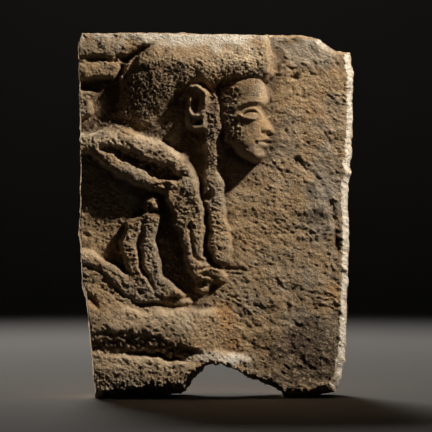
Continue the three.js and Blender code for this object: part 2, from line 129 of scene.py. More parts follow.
# Layers of noise over the face, each as (strength, width and height of its features in millimetres, seed)
WANDER_RIGHT = [(1, 16, 16, 31), (0.2, 6, 6, 32)]
WANDER_DOWN = [(1, 16, 16, 33), (0.2, 6, 6, 34)]
FRAY_RIGHT = [(1, 2.6, 2.6, 36)]
FRAY_DOWN = [(1, 2.6, 2.6, 37)]
STREAK_WARP = [(3, 19, 21, 6)]
BROAD_STREAKS = [(1, 6.5, 3.8, 7)]
NARROW_STREAKS = [(0.5, 4.5, 2.6, 8)]
STREAK_PATCHES = [(0.6, 34, 30, 9)]
FINE_GRAIN = [(0.8, 2.5, 2.3, 10), (0.35, 1.6, 1.6, 11), (0.5, 5, 4.6, 15)]
BULGES = [(1, 11, 7, 26), (0.5, 5, 4, 27)]
UNEVEN_SIZE = (24, 20)
UNDULATION_SIZE = (36, 26)
STREAK_SLOPE = 0.35  # streaks sink to the right
BULGE_SLOPE = 0.3
LUMP_CELL = 2.5
PIT_CELL = 4.2
LARGE_PIT_CELL = 9
LARGE_PIT_SHARE = 0.16
PIT_PATCH_LAYER = [(0.5, 3 * PIT_CELL, 3 * PIT_CELL, 66)]

# How the masks of painted shade in hollows and deep places, and of painted highlight on raised grain,
# follow the height, in millimetres, and the grid points they span
GRAIN_LIGHT_RANGE = 2.4
GRAIN_LIGHT_REACH = 3
GRAIN_LIGHT_AMONG_LUMPS = 1.3
RECESS_SHADE_RANGE = 9
RECESS_SHADE_REACHES = (2, 12)

# The sides' coarse and fine noise: how wide its features are, and how far each pushes, in millimetres
COARSE_SIZE = 17
FINE_SIZE = 5
SIDE_PUSH = (0.5, 0.35)
BROKEN_PUSH = (1.3, 0.5)
KNAPPED_PUSH = (0.3, 0.7)
TOOLING_PUSH = 0.2
BACK_CALM = 0.7  # how much less the back is pushed, as a share


def value_between(pairs, share):
    """The value at each share along a list of (share, value) pairs."""
    return np.interp(share, [p[0] for p in pairs], [p[1] for p in pairs])


def smooth_step(values):
    t = np.clip(values, 0, 1)
    return t * t * (3 - 2 * t)


def rounded(t, power=RIM_POWER):
    """1 at the middle and 0 at the rim of a rounded form, where t runs from 0 to 1."""
    return (1 - np.clip(t, 0, 1) ** power) ** (1 / power)


def smooth_curve(points, closed=False):
    """A smooth curve through the points, as short straight pieces."""
    p = np.array(points, float)
    if closed:
        p = np.vstack([p[-1], p, p[0], p[1]])
    else:
        p = np.vstack([2 * p[0] - p[1], p, 2 * p[-1] - p[-2]])
    t = (np.arange(STEPS_PER_SPAN) / STEPS_PER_SPAN)[:, None]
    spans = []
    for a, b, c, d in zip(p, p[1:], p[2:], p[3:]):
        spans.append(0.5 * (2 * b + (c - a) * t + (2 * a - 5 * b + 4 * c - d) * t**2
                            + (3 * b - a - 3 * c + d) * t**3))
    return np.vstack([*spans, p[-2:-1]])


def nearest_on(curve, right, down):
    """How far each place is from a curve, and the share of the curve where it comes nearest."""
    least = np.full(right.shape, np.inf)
    share = np.zeros(right.shape)
    pieces = len(curve) - 1
    for i, (a, b) in enumerate(zip(curve, curve[1:])):
        along = b - a
        t = ((right - a[0]) * along[0] + (down - a[1]) * along[1]) / max(along @ along, 1e-12)
        t = np.clip(t, 0, 1)
        distance = np.hypot(right - a[0] - t * along[0], down - a[1] - t * along[1])
        nearer = distance < least
        least[nearer] = distance[nearer]
        share[nearer] = (i + t[nearer]) / pieces
    return least, share


def is_inside(curve, right, down):
    odd = np.zeros(right.shape, bool)
    for a, b in zip(curve, curve[1:]):
        if a[1] != b[1]:
            crosses = (a[1] > down) != (b[1] > down)
            odd ^= crosses & (right < a[0] + (down - a[1]) * (b[0] - a[0]) / (b[1] - a[1]))
    return odd


def value_at(values, share):
    """The value at a share along evenly spaced values, or the one value."""
    if np.isscalar(values):
        return values
    return np.interp(share, np.linspace(0, 1, len(values)), values)


def near_box(curve, right, down, margin=0.0):
    low, high = curve.min(axis=0) - margin, curve.max(axis=0) + margin
    return (right > low[0]) & (right < high[0]) & (down > low[1]) & (down < high[1])


def oval_reach(right, down, middle, radii):
    """0 at the middle of an oval and 1 at its rim."""
    return np.hypot((right - middle[0]) / radii[0], (down - middle[1]) / radii[1])


# Each of these makes one form of the carving, which changes the heights in place, as shares of
# RELIEF_DEPTH, and marks which skin lies on top
def mass(outline, rise, rim, crest=None, fall=0, fade=None, skin="body"):
    """A closed outline with a rounded rim, which falls away from its crest."""
    edge = smooth_curve(outline, closed=True)
    ridge = smooth_curve(crest) if crest else None

    def form(height, skins, right, down):
        near = np.flatnonzero(near_box(edge, right, down))
        near = near[is_inside(edge, right[near], down[near])]
        r, d = right[near], down[near]
        top = np.full(r.shape, float(rise))
        if ridge is not None:
            away = np.hypot(nearest_on(ridge, r, d)[0], CREST_RADIUS) - CREST_RADIUS
            top = np.maximum(rise - fall * away, LEAST_RISE)
        if fade:
            (x0, y0), (x1, y1) = fade
            along = ((r - x0) * (x1 - x0) + (d - y0) * (y1 - y0)) / ((x1 - x0) ** 2 + (y1 - y0) ** 2)
            top = top * (1 - smooth_step(along))
        raise_to(height, skins, near, top * rounded(1 - nearest_on(edge, r, d)[0] / rim), skin)

    return form


def bar(points, width, rise, skin="body"):
    """A rounded band along a path."""
    path = smooth_curve(points)

    def form(height, skins, right, down):
        near = np.flatnonzero(near_box(path, right, down, np.max(width)))
        distance, share = nearest_on(path, right[near], down[near])
        top = value_at(rise, share) * rounded(distance / value_at(width, share))
        raise_to(height, skins, near, top, skin)

    return form


def raise_to(height, skins, places, top, skin):
    higher = top > height[places]
    height[places[higher]] = top[higher]
    skins[places[higher]] = SKIN_NAMES.index(skin)


def cut(points, width, depth, skin=None, power=CUT_POWER):
    """A groove along a path, or a raised line where the depth is less than 0."""
    path = smooth_curve(points)

    def form(height, skins, right, down):
        near = np.flatnonzero(near_box(path, right, down, np.max(width)))
        distance, share = nearest_on(path, right[near], down[near])
        reach = distance / value_at(width, share)
        height[near] -= value_at(depth, share) * rounded(reach, power)
        if skin:
            skins[near[reach < 1]] = SKIN_NAMES.index(skin)

    return form


def pit(middle, radii, depth, skin=None, power=CUT_POWER):
    """An oval hollow, or a swelling where the depth is less than 0."""

    def form(height, skins, right, down):
        reach = oval_reach(right, down, middle, radii)
        height -= depth * rounded(reach, power)
        if skin:
            skins[reach < 1] = SKIN_NAMES.index(skin)

    return form


def sunk(outline, depth, rim):
    """A shallow sunken area with a sloping rim."""
    edge = smooth_curve(outline, closed=True)

    def form(height, skins, right, down):
        near = np.flatnonzero(near_box(edge, right, down))
        near = near[is_inside(edge, right[near], down[near])]
        height[near] -= depth * smooth_step(nearest_on(edge, right[near], down[near])[0] / rim)

    return form


def boss(middle, radii, base, rise, skin="body"):
    """An oval swelling that stands on its own base."""

    def form(height, skins, right, down):
        reach = oval_reach(right, down, middle, radii)
        near = np.flatnonzero(reach < 1)
        raise_to(height, skins, near, base + rise * rounded(reach[near]), skin)

    return form


# The main forms: the solid's, with the fills, hollows and breaks that are too fine for it
CARVING = [
    # A second figure's arm, hand and sleeve, cut off at the left edge
    mass([(5, 1), (16.5, 1), (15.6, 3.4), (14.4, 4.7), (12.6, 5.5), (11.6, 5.7), (8.5, 5.75), (5, 5.7)],
         rise=0.8, rim=0.5, crest=[(5, 4.9), (13, 4.7), (16, 3.8)], fall=0.06, skin="worn"),
    mass([(5, 5.9), (11, 5.95), (11.8, 6.2), (12, 6.9), (11.7, 7.6), (11, 7.85), (5, 7.95)],
         rise=0.68, rim=0.5, crest=[(5, 6.4), (11.5, 6.4)], fall=0.06, skin="worn"),
    mass([(4, 5.2), (12, 5.2), (12.4, 5.9), (11.8, 6.5), (4, 6.4)], rise=0.64, rim=0.2, skin="worn"),
    mass([(14.6, 4.5), (12.7, 5.8), (11.9, 7.6), (12.3, 7.9), (13.3, 6.6), (14.6, 5.2)],
         rise=0.74, rim=0.4),
    mass([(13, 1), (18.5, 1), (17.4, 3.2), (16, 4.3), (14.9, 4.7), (13.8, 4.4)],
         rise=0.8, rim=0.6, skin="worn"),
    mass([(5, 8.9), (9.3, 9), (9.1, 10.2), (8.5, 11.7), (5, 12.2)], rise=0.4, rim=0.3),
    # The ground line
    mass([(4, 35.4), (12, 35.4), (15, 35.6), (17.2, 36), (19.5, 36.4), (21.5, 37), (20, 39), (17, 43),
          (4, 43)],
         rise=0.62, rim=0.55, crest=[(4, 36.4), (20, 37)], fall=0.06),
    # The lower leg with its broken underside, and the thigh
    mass([(4, 26.3), (8.2, 27.2), (9.8, 28.3), (11.2, 29.5), (12.6, 30.6), (14.4, 31), (20, 31),
          (23.5, 31.5), (25, 35), (23, 37.5), (20.5, 35.8), (17.5, 34.6), (14.6, 33.7), (9, 33.4),
          (4, 33.4)],
         rise=0.74, rim=0.5, crest=[(6, 31), (10, 32), (14, 32.7), (17, 33.3), (21, 34.8)], fall=0.09,
         fade=[(18.5, 32.4), (24.5, 33.4)]),
    mass([(4, 25.8), (8, 26.4), (10.4, 27.6), (12.4, 29.6), (14.6, 30.6), (19, 30.8), (20, 31.6),
          (16, 31.8), (13, 31.2), (10, 29.2), (7, 27.8), (4, 27.2)],
         rise=0.5, rim=0.3),
    mass([(4, 32.2), (9, 32.4), (13.5, 32.6), (16.5, 33.2), (19.6, 34.6), (21.5, 36), (19.9, 36.5),
          (17.2, 35.9), (14.5, 35.4), (4, 35.3)],
         rise=0.68, rim=0.35, crest=[(4, 32.9), (9.2, 32.9), (13.5, 33.1), (16.4, 33.8), (19.5, 35.2)],
         fall=0.23, fade=[(17.5, 34), (21.5, 36)], skin="broken"),
    mass([(4, 24.7), (8, 24.9), (10.2, 25.6), (11.7, 26.7), (14, 28), (15.8, 28.8), (18, 29.6),
          (19, 30.4), (16.5, 30.7), (14.4, 30.55), (13, 30.2), (11.2, 28.6), (9, 26.8), (4, 25.9)],
         rise=0.6, rim=0.42, crest=[(6, 25.3), (9, 25.9), (12, 28), (15, 29.6)], fall=0.1),
    # The neck, hollowed behind the lock
    mass([(15.6, 9), (19, 7.6), (21.8, 8.2), (23.4, 10), (23.4, 13.5), (22.4, 15.6), (22.2, 18.5),
          (19.5, 18.5), (17.8, 15.6), (14.8, 14.2), (12.5, 12.6)],
         rise=0.3, rim=1.2, crest=[(19, 9), (20.5, 15)], fall=0.05, skin="worn"),
    pit((19.4, 14.8), (1.9, 3.3), 0.26, power=2),
    # The wig, and the lock before the ear
    mass([(17.5, 0.2), (15.6, 3.4), (14.3, 4.85), (12.9, 6.3), (12.1, 7.6), (12, 10), (11, 11.2),
          (10.1, 12.2), (10.8, 12.9), (13.2, 13), (15.2, 12.4), (16.1, 11.2), (17.1, 10), (18.4, 9.1),
          (20, 8.3), (21.2, 9), (22.7, 8.35), (24.2, 8.15), (26.9, 8.05), (27.4, 6.2), (27.3, 4.9),
          (26.9, 3.6), (26.5, 0.2)],
         rise=1.08, rim=0.9, crest=[(15.3, 6.6), (17.2, 6.2), (20, 6.1), (23, 6.1), (26, 6.2)], fall=0.17,
         skin="hair"),
    mass([(20.6, 8.6), (21.8, 8.3), (22, 10.6), (22.3, 12.6), (22, 13.8), (21.7, 15.5), (21.7, 18.2),
          (20.8, 18.2), (20.5, 15.5), (20.4, 13), (20.4, 10.5)],
         rise=0.52, rim=0.4, crest=[(21.2, 8.6), (21.2, 12)], fall=0.03),
    # The face: brow, nose and chin each a third of the way down from the wig
    mass([(22.2, 7.6), (24.5, 7.2), (26.4, 7.4), (26.8, 9.6), (26.75, 10.3), (26.35, 10.95),
          (26.75, 11.8), (27.35, 12.75), (27.3, 13.2), (26.8, 13.4), (27, 13.9), (26.7, 14.2),
          (26.85, 14.6), (26.45, 14.95), (26.45, 15.5), (26, 16), (25.2, 16.1), (23.9, 15.4),
          (22.9, 14.4), (22.2, 12.9), (21.7, 10.6), (21.75, 8.8)],
         rise=0.93, rim=0.9, crest=[(25.4, 8.4), (25.5, 11), (25.3, 15.5)], fall=0.17, skin="face"),
    # The shoulder and upper arm
    mass([(4, 13.6), (8.6, 13.3), (10.7, 12.7), (12.1, 12.7), (14, 13.25), (15.95, 13.9), (17.4, 14.8),
          (18.5, 15.8), (19.4, 17), (20, 19), (18.6, 19.1), (16.5, 18.75), (14.5, 18.3), (13, 17.6),
          (11.5, 16.8), (9.9, 15.9), (8.9, 15.3), (7.9, 15.3), (4, 16)],
         rise=0.95, rim=0.6, crest=[(6, 14.6), (10, 14.2), (14, 15), (17.5, 16.6), (19, 18)], fall=0.09),
    # The near forearm, the far forearm, the near hand, and where the lower leg ends on the ground line
    mass([(16.5, 18.4), (18.9, 17.6), (19.9, 18.8), (20.3, 20.9), (20.55, 23.1), (20.4, 25.4),
          (19.9, 26.6), (18.9, 26.6), (18.3, 24.6), (17.4, 22.4), (16.6, 20.2)],
         rise=0.72, rim=0.36, crest=[(17.8, 18.8), (18.8, 21.5), (19.5, 25)], fall=0.06),
    mass([(20.4, 17.4), (21.3, 17), (22.3, 17.9), (22.4, 19.6), (22.7, 21.9), (23, 24.4), (23, 26),
          (22.3, 26.9), (21.3, 26.2), (20.9, 24.4), (20.8, 21.9), (20.5, 19.6)],
         rise=0.56, rim=0.32, crest=[(21.3, 17.6), (21.4, 20), (21.6, 23), (21.9, 26)], fall=0.15),
    mass([(18.5, 25), (19.8, 25), (20.8, 25.9), (22, 26.7), (22.8, 27.6), (22.3, 28.4), (21.3, 28.5),
          (20.7, 29.2), (19.8, 29), (19.2, 27.7), (18.6, 26.6)],
         rise=0.7, rim=0.4, fade=[(19.2, 25.4), (23.6, 31)]),
    mass([(18.4, 35.6), (21, 35), (23.6, 35.4), (25, 36.4), (24.6, 38.5), (19.4, 38.5)],
         rise=0.52, rim=0.7, fade=[(21, 36), (26, 36)]),
    # Two folds of cloth that hang from the arm, side by side, and the broken stump above them
    mass([(14.2, 21.5), (15.9, 21), (15.9, 22.4), (15.65, 24.4), (15.95, 26.4), (16.9, 28.1),
          (18.6, 29.5), (17, 30), (15.2, 29.7), (13.9, 28.8), (12.8, 27.4), (12.2, 25.9), (12.1, 24.2),
          (12.5, 22.3)],
         rise=0.64, rim=0.36, crest=[(14.6, 22), (13.9, 24.2), (14.6, 27.2), (16.6, 29.2)], fall=0.06),
    cut([(14.3, 22), (14.15, 23), (14.05, 24.2), (14.1, 25.8), (14.5, 27.4), (15.5, 28.9)],
        width=[0.3, 0.36, 0.42, 0.42, 0.36, 0.2], depth=[0.08, 0.24, 0.38, 0.4, 0.3, 0.12]),
    boss((15.2, 20.6), (0.8, 1.25), base=0.22, rise=0.46, skin="broken"),
    boss((21.35, 18.3), (0.95, 1.2), base=0.3, rise=0.34),
    cut([(16.8, 18.9), (18.2, 18.75), (19.6, 18.85)], width=0.22, depth=0.16),
    cut([(18.4, 20.3), (18.75, 22.2), (19.15, 24.2), (19.4, 25.6)],
        width=0.2, depth=[0.08, 0.14, 0.18, 0.14]),
    # The ear
    mass([(18.5, 9.6), (19, 8.7), (20, 8.5), (20.7, 9.3), (20.75, 10.6), (20.6, 11.8), (20.6, 12.8),
          (19.8, 13.2), (18.9, 12.7), (18.7, 11.6), (18.9, 10.6)],
         rise=0.8, rim=0.35, skin="worn"),
    bar([(18.5, 9.2), (19.2, 8.65), (20, 8.7), (20.6, 9.5), (20.6, 10.8), (20.3, 11.4)],
        width=[0.35, 0.42, 0.42, 0.36, 0.3, 0.26], rise=[0.85, 1, 1.04, 1, 0.95, 0.85], skin="worn"),
    pit((19.55, 10.3), (0.62, 1), 0.5),
    pit((19.75, 12.3), (0.4, 0.4), 0.35),
    # The elbow, the spall along the upper arm with the strip below it, and other deep pits
    mass([(16.6, 18), (18.5, 17.4), (19.7, 18), (20.2, 19.6), (20.5, 22), (19.6, 23.4), (18, 22.8),
          (16.8, 20.6)],
         rise=0.94, rim=0.6, fade=[(18.3, 19), (20.5, 28)]),
    cut([(10.2, 14.8), (11.4, 15.1), (12.8, 15.7), (14.6, 16.5), (16.2, 17.2), (17.6, 17.6),
         (18.6, 17.6)],
        width=[0.4, 0.55, 0.65, 0.8, 0.85, 0.7, 0.4], depth=[0.25, 0.4, 0.44, 0.48, 0.5, 0.42, 0.2],
        skin="broken"),
    bar([(9.7, 15.4), (11.4, 16.4), (13, 17.25), (14.6, 18.05), (16.4, 18.95)],
        width=[0.5, 0.8, 0.98, 1, 0.55], rise=[0.84, 0.88, 0.9, 0.88, 0.72]),
    pit((12.3, 5.9), (0.4, 0.5), 0.35),
    pit((20.9, 19.5), (0.45, 0.4), 0.4),
    pit((15.2, 21), (0.4, 0.35), 0.3),
    pit((20.9, 28.4), (0.9, 0.6), 0.12),
]

# The finer carving, cut into those forms
FACE_CARVING = [
    # Cheek, eye socket, eyeball and lids
    pit((24.9, 13.2), (1.5, 1.5), -0.07, power=2),
    pit((25.2, 11.05), (1.5, 0.7), 0.14, power=1.3),
    pit((25.12, 11.34), (0.85, 0.4), -0.13, power=2),
    cut([(24.2, 11.48), (24.6, 11.22), (25.1, 11.1), (25.6, 11.16), (26, 11.4)], width=0.12, depth=0.12),
    cut([(24.05, 11.5), (24.5, 11.06), (25.1, 10.88), (25.7, 10.98), (26.15, 11.42)],
        width=0.17, depth=-0.17),
    cut([(24.05, 11.5), (24.6, 11.78), (25.2, 11.88), (25.8, 11.76), (26.15, 11.42)],
        width=0.15, depth=-0.14),
    cut([(24.1, 11.5), (23.4, 11.62)], width=0.13, depth=-0.07),
    # Brow
    cut([(23.4, 10.75), (24.3, 10.3), (25.1, 10.1), (25.9, 10.12), (26.5, 10.4)], width=0.2, depth=-0.06),
    # Nostril and its wing
    pit((26.55, 12.95), (0.42, 0.36), -0.1, power=2),
    cut([(26.2, 12.6), (26.12, 13), (26.3, 13.36)], width=0.12, depth=0.07),
    pit((26.86, 13.16), (0.16, 0.1), 0.2),
    # Lips, the line between them and the corner of the mouth
    cut([(25.85, 14.12), (26.3, 13.98), (26.75, 13.9), (26.95, 13.96)], width=0.2, depth=-0.09),
    cut([(25.9, 14.3), (26.3, 14.44), (26.75, 14.48)], width=0.2, depth=-0.09),
    cut([(25.7, 14.22), (26.2, 14.19), (27, 14.17)], width=0.09, depth=0.16),
    pit((25.68, 14.22), (0.2, 0.16), 0.12),
    pit((25.9, 15.35), (0.7, 0.55), -0.05, power=2),
]
EAR_CARVING = [
    cut([(18.85, 10.1), (19.15, 11.1), (19.95, 11.5), (20.3, 11.1)], width=0.22, depth=-0.25),
    cut([(18.9, 11.9), (19.2, 12.8), (19.9, 13), (20.4, 12.5)], width=0.24, depth=-0.12),
    pit((19.8, 12.3), (0.22, 0.26), 0.2),
]
HAND_CARVING = [
    # The crease above the palm, a slit across it, and the broken fingers
    cut([(19.3, 25.5), (20.6, 26.2), (22, 26.65), (24.1, 26.95)], width=[0.14, 0.34, 0.3, 0.15],
        depth=[0.1, 0.26, 0.2, 0.05]),
    cut([(20, 26.8), (20.9, 26.75)], width=0.15, depth=0.2),
    cut([(20.3, 27.2), (21.4, 27.9), (22, 28.3)], width=0.14, depth=0.18),
    pit((20.1, 28.2), (0.75, 0.7), 0.24, skin="broken"),
    cut([(22.2, 26.9), (23.4, 27.4), (24.3, 27.6)], width=0.12, depth=0.06),
]
# Scars of the background and of the broken parts, and slow swellings of the worn surface
SCARS = [
    cut([(14.3, 4.85), (13, 6.2), (11.9, 7.6)], width=0.16, depth=0.22),
    cut([(8.9, 5.85), (11.5, 5.95)], width=0.2, depth=0.15),
    # The broken inside of the spall
    pit((11.6, 14.9), (0.7, 0.3), 0.12),
    pit((13.4, 15.5), (0.9, 0.4), 0.12),
    pit((15.2, 16.5), (0.8, 0.5), 0.14),
    pit((16.9, 16.8), (0.7, 0.45), 0.14),
    pit((14.3, 16.5), (0.45, 0.3), -0.16),
    pit((16.2, 17.3), (0.4, 0.3), -0.18),
    pit((12.4, 15.5), (0.4, 0.22), -0.14),
    cut([(8, 33.3), (11, 33.4), (14, 33.6), (16.4, 34.3)],
        width=[0.2, 0.22, 0.2, 0.15], depth=[0.16, 0.16, 0.12, 0.05]),
    cut([(8.2, 28.9), (9, 29.9), (9.8, 30.8)], width=[0.3, 0.4, 0.2], depth=[0.1, 0.22, 0.08]),
    pit((14, 29.1), (0.32, 0.28), 0.3),
    pit((29.5, 7.6), (0.5, 0.34), 0.16),
    cut([(28.9, 15.9), (29.8, 16.1), (30.6, 16.6)], width=[0.15, 0.45, 0.2], depth=[0.03, 0.13, 0.05]),
    cut([(30.4, 16.6), (31.6, 17.6), (32.5, 19), (33.2, 20.9), (33.6, 23.1)],
        width=[0.25, 0.3, 0.22, 0.4, 0.3], depth=[0.05, 0.06, 0.04, 0.1, 0.06]),
    pit((27.6, 22.2), (0.5, 0.3), 0.07),
    cut([(25.4, 25.6), (26.8, 24.8), (28.6, 24.2), (30.2, 24.1), (31.8, 24.3)], width=0.16, depth=0.04),
    cut([(22.3, 26.6), (23.4, 26.85), (24.6, 27)], width=0.12, depth=0.06),
    cut([(22.6, 27.1), (23.8, 27.5), (24.4, 27.5)], width=0.1, depth=0.05),
    cut([(29.15, 29.9), (28.85, 30.6), (29.1, 31.4)], width=[0.2, 0.4, 0.25], depth=[0.05, 0.12, 0.06]),
    cut([(29.4, 32.4), (30.1, 32.8)], width=0.22, depth=0.08),
    cut([(24, 31.6), (24.5, 32.7), (25.9, 32.8)], width=0.14, depth=0.06),
    pit((26.1, 32.8), (0.4, 0.22), 0.1),
    cut([(30.1, 36), (31.5, 37.2)], width=0.2, depth=0.07),
    cut([(33.9, 23.3), (33.75, 24.2), (33.9, 25.2)], width=0.3, depth=0.13),
    sunk([(28.4, 27.8), (31, 28.8), (34, 30), (34.5, 38), (31, 38.6), (28.6, 36.6), (27.4, 33.4),
          (28, 30.4)],
         depth=0.05, rim=0.8),
    sunk([(25.4, 30.4), (24.4, 31.6), (24.3, 32.6), (25, 33.4), (26.6, 33), (27.2, 31.2)],
         depth=0.04, rim=0.3),
    sunk([(28.2, 3), (28.3, 5), (31, 6.4), (34, 7.4), (36, 8), (36, 3)], depth=0.05, rim=0.5),
    pit((31.5, 5.6), (3, 1.6), -0.06, power=2),
    pit((29, 12), (4, 3), -0.04, power=2),
    pit((30.5, 20), (4, 2.2), -0.05, power=2),
    pit((27, 29), (4, 2), -0.04, power=2),
    pit((30, 34.5), (4, 2.4), -0.05, power=2),
    pit((25, 33.6), (1.2, 1.6), 0.05, power=2),
]
# Patches that are rougher or smoother than their skin: middle, radii, factor
ROUGHER = [
    ((23, 9.6), (1.3, 2.6), 4),
    ((23.3, 13.2), (1.5, 2.2), 4),
    ((21.3, 13), (0.9, 5), 2),
    ((20, 3), (9, 2), 0.1),
    ((20.5, 4), (6.5, 2.2), 0.15),
    ((19, 14), (3, 4), 0.4),
    ((14, 31.6), (8, 2), 0.6),
    ((12, 34.3), (9, 1), 0.8),
    ((12, 36.6), (8, 1), 0.7),
    ((12, 38.9), (7, 1.2), 2),
    ((10, 20.5), (2.8, 3.4), 2),
    ((14, 25), (2.5, 5), 1.4),
    ((21.4, 15.5), (1, 2.6), 2),
    ((20, 22.5), (3.4, 5), 1.3),
]
# Where the stone is stained or freshly broken, and where shade and highlight are painted on: middle, radii,
# strength
STAINS = {
    "ochre": [((22.6, 31.6), (1.5, 2.6), 1), ((23.6, 34.6), (1.5, 1.4), 0.8), ((33.3, 29), (1.1, 1.4), 0.8),
              ((26.2, 17.5), (3, 2.2), 0.35), ((22.6, 8.6), (2, 2), 0.5), ((31.8, 10.5), (1.5, 2), 0.4),
              ((13.2, 27), (2, 3), 0.3), ((12.5, 31.4), (4.5, 1.5), 0.7), ((12.5, 9), (2.5, 3), 0.35)],
    # Dark patches: partly real stains, partly painted shade where the nape, neck, lock, the cheek's left
    # side and the wig's back lie in shadow
    "dark_stain_and_painted_shade": [((32.2, 21.6), (1.8, 1.2), 0.7), ((33.8, 24), (0.5, 1.6), 1), ((29.8, 16.1), (1, 0.4), 0.8),
             ((29.7, 7.6), (0.8, 0.4), 0.7), ((31.2, 19), (0.6, 1.6), 0.4), ((29, 30.8), (0.5, 1), 0.5),
             ((12, 39), (4.5, 1), 0.5), ((30, 24.4), (2.6, 0.5), 0.35), ((31, 35.6), (6.6, 5.8), 1),
             ((14, 21.6), (2.4, 1.5), 0.6), ((21.3, 11.4), (1, 3.4), 0.95), ((15.2, 9.8), (5, 3.9), 0.8),
             ((15.4, 7.2), (3.8, 2.4), 0.55), ((22.7, 11.6), (1.3, 4), 0.65), ((11, 12.3), (4, 0.8), 1),
             ((10.9, 9.8), (2.3, 3.4), 1), ((15.9, 12.6), (2.4, 1.5), 1), ((17.2, 24.8), (1.7, 4.4), 0.9),
             ((19, 14.4), (2, 3), 1), ((21.2, 15.6), (0.9, 2.8), 0.9), ((12.5, 34.3), (6.5, 0.9), 0.8),
             ((18, 35.2), (2.5, 0.6), 0.7)],
    "grey": [((31, 5), (5, 2.4), 0.9), ((32.6, 19.5), (2.6, 6.5), 0.9), ((31.5, 34.5), (5, 5), 1),
             ((14, 33.2), (9, 1.2), 0.35), ((12, 38), (7, 2), 0.4), ((29, 27), (4, 3), 0.35)],
    # Pale patches: partly worn stone, partly painted highlight on the lit tops of the shoulder, thigh, leg,
    # ground line, wig and the face's front
    "pale_wear_and_painted_highlight": [((31.5, 5.2), (3.4, 1.4), 0.35), ((26.7, 9.5), (1.3, 3.4), 0.45), ((24, 5.6), (3.6, 2), 1),
             ((15, 31.8), (8, 2), 0.9), ((12, 13.9), (7, 1.1), 1), ((17.6, 15.3), (2, 1.6), 1),
             ((8, 25.5), (4, 1), 0.6), ((14, 36.2), (8, 1.2), 1), ((20.5, 5.4), (3, 1.2), 0.4)],
    # Fresh patches: the worn top edge and fresh breaks, paler stone; the sides that face right also get
    # this colour, as painted highlight
    "fresh_break_and_painted_highlight": [((20, 3.2), (16, 1.8), 1), ((22.8, 36), (2.6, 0.75), 1), ((21, 35.8), (3, 0.9), 0.7)],
}


# Large primes that mix whole numbers into repeatable values
SEED_PRIME = 2654435761
SEED_OFFSET = 97
CORNER_PRIMES = (374761393, 668265263, 2246822519)
MIXING_PRIMES = (2246822519, 3266489917)
LOW_32_BITS = 0xFFFFFFFF
LOW_24_BITS = 0xFFFFFF
NOISE_GAIN = 3.2  # brings the noise to a range from about -1 to 1


def chance(*corner, seed=0):
    """A repeatable value from 0 to 1 for each set of whole numbers."""
    n = np.full(corner[0].shape, seed * SEED_PRIME + SEED_OFFSET, dtype=np.int64)
    for values, prime in zip(corner, CORNER_PRIMES):
        n = (n + values * prime) & LOW_32_BITS
        n = ((n ^ (n >> 15)) * MIXING_PRIMES[0]) & LOW_32_BITS
        n = ((n ^ (n >> 13)) * MIXING_PRIMES[1]) & LOW_32_BITS
    return ((n ^ (n >> 16)) & LOW_24_BITS) / LOW_24_BITS


def noise(x, y, z, seed=0):
    """Smooth noise with features about one unit across."""
    cells = [np.floor(v).astype(np.int64) for v in (x, y, z)]
    inner = [v - c for v, c in zip((x, y, z), cells)]
    ease = [f * f * f * (f * (f * 6 - 15) + 10) for f in inner]
    total = np.zeros(x.shape)
    for corner in itertools.product((0, 1), repeat=3):
        at = [c + k for c, k in zip(cells, corner)]
        weight = np.ones(x.shape)
        slope = np.zeros(x.shape)
        for axis in range(3):
            weight *= ease[axis] if corner[axis] else 1 - ease[axis]
            slope += (inner[axis] - corner[axis]) * (2 * chance(*at, seed=seed + 11 * axis) - 1)
        total += weight * slope
    return NOISE_GAIN * total


def rough_noise(x, y, z, seed=0, octaves=3):
    """Noise with finer and weaker noise laid over it."""
    total = np.zeros(x.shape)
    for k in range(octaves):
        total += 0.5**k * noise(x * 2.1**k, y * 2.1**k, z * 2.1**k, seed + 37 * k)
    return total


def layered(x, z, layers):
    """The sum of layers of noise over the face."""
    flat = np.zeros(x.shape)
    return sum(strength * noise(x / wide, flat, z / tall, seed) for strength, wide, tall, seed in layers)


def scattered(x, z, cell, seed, share, least=0.25, most=0.5):
    """Round spots, about one in each cell, of which a share is kept: 1 at a middle, 0 outside."""
    u, v = x / cell, z / cell
    column, row = np.floor(u).astype(np.int64), np.floor(v).astype(np.int64)
    depth = np.zeros(x.shape)
    for step in itertools.product((-1, 0, 1), repeat=2):
        c, r = column + step[0], row + step[1]
        reach = least + (most - least) * chance(c, r, seed=seed + 2)
        away = np.hypot(u - c - chance(c, r, seed=seed), v - r - chance(c, r, seed=seed + 1)) / reach
        kept = chance(c, r, seed=seed + 3) < share
        depth = np.maximum(depth, kept * np.clip(1 - away**2, 0, 1))
    return depth


def blurred(field, reach):
    """The field averaged over squares of 2 * reach + 1 grid points, twice."""
    size = 2 * reach + 1
    for axis in (0, 1, 0, 1):
        margins = [(reach + 1, reach) if a == axis else (0, 0) for a in (0, 1)]
        total = np.cumsum(np.pad(field, margins, mode="edge"), axis=axis)
        field = (np.take(total, range(size, total.shape[axis]), axis)
                 - np.take(total, range(total.shape[axis] - size), axis)) / size
    return field


def grid_shares(length, fine_share):
    factor = 1
    fine = round(length * fine_share / (FINE_STEP * factor))
    coarse = round(length * (1 - fine_share) / (COARSE_STEP * factor))
    figure = np.linspace(0, fine_share, fine, endpoint=False)
    return np.hstack([figure, np.linspace(fine_share, 1, coarse + 1)])


def ragged(share, length, scallop, seed):
    """How far chips eat into a side, from 0 to about 1: scallops of about one length, and finer ones."""
    along = share * length / scallop
    zero = np.zeros(along.shape)
    finer = 0.35 * np.abs(noise(along * 2.7, zero, zero, seed + 5))
    finest = 0.15 * noise(along * 6.1, zero, zero, seed + 6)
    return 0.8 * np.abs(noise(along, zero, zero, seed)) + (finer + finest)


